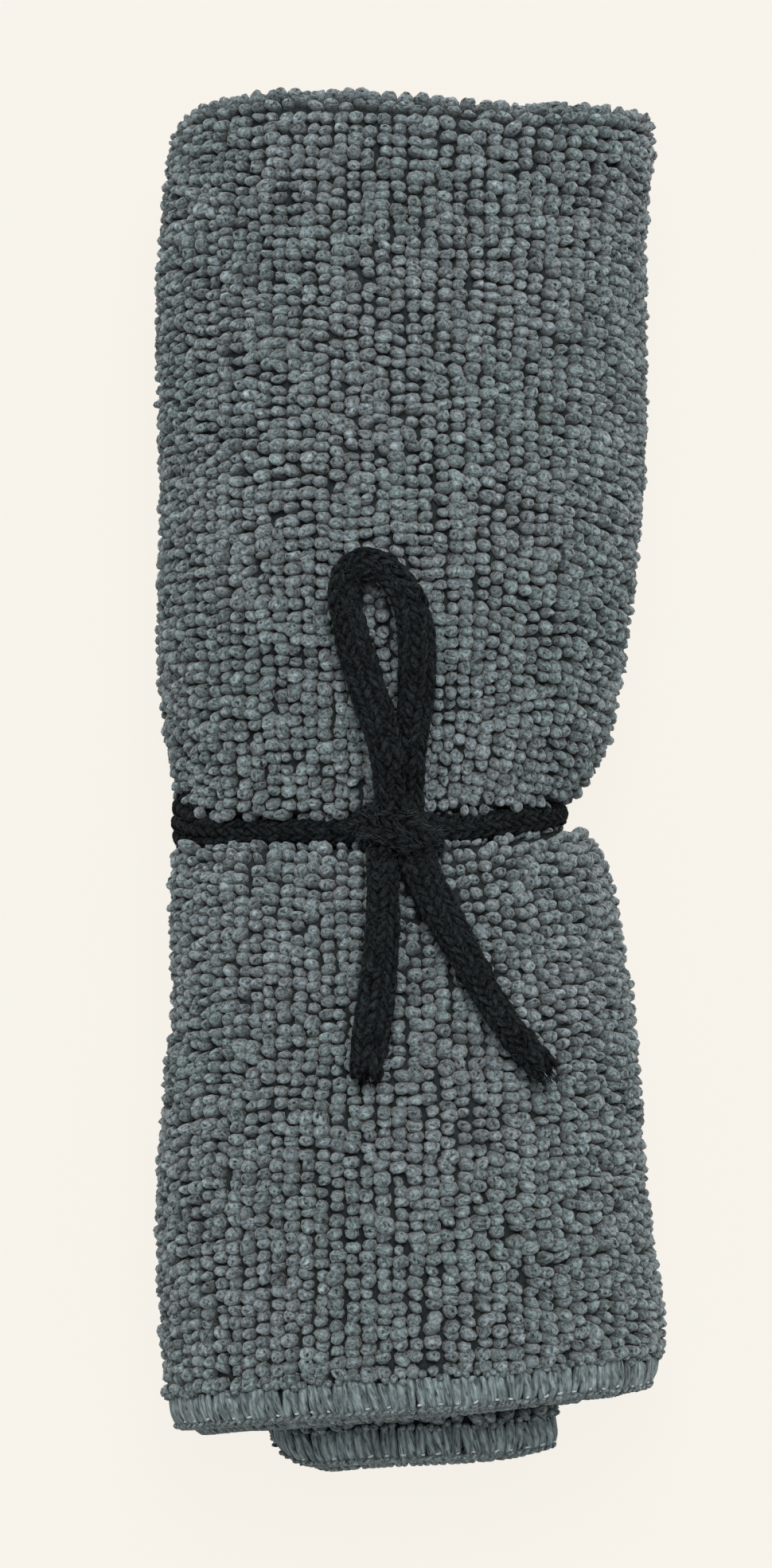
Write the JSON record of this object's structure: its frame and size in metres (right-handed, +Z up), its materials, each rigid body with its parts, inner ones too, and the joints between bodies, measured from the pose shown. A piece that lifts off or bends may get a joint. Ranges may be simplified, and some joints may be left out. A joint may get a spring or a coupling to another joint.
{
  "type": "rolled microfiber cloth",
  "caption": "Looped microfibre terry cloth, folded in half and rolled, tied round the waist with a braided cord in a half bow.",
  "frame": {"origin": "centre of the roll's footprint, on the surface that it rests on", "axes": "+Z up, +Y along the roll towards its folded end, +X to the right seen from above with +Y away"},
  "size_m": [0.0785, 0.208, 0.0516],
  "materials": {
    "cloth": "matt looped microfibre terry, slate grey",
    "cord": "soft braided cotton cord, black"
  },
  "bodies": {
    "root": {"cloth_roll": "cloth", "tie_band": "cord", "tie_knot": "cord", "tie_bow": "cord", "tie_end_left": "cord", "tie_end_right": "cord"}
  },
  "joints": []
}
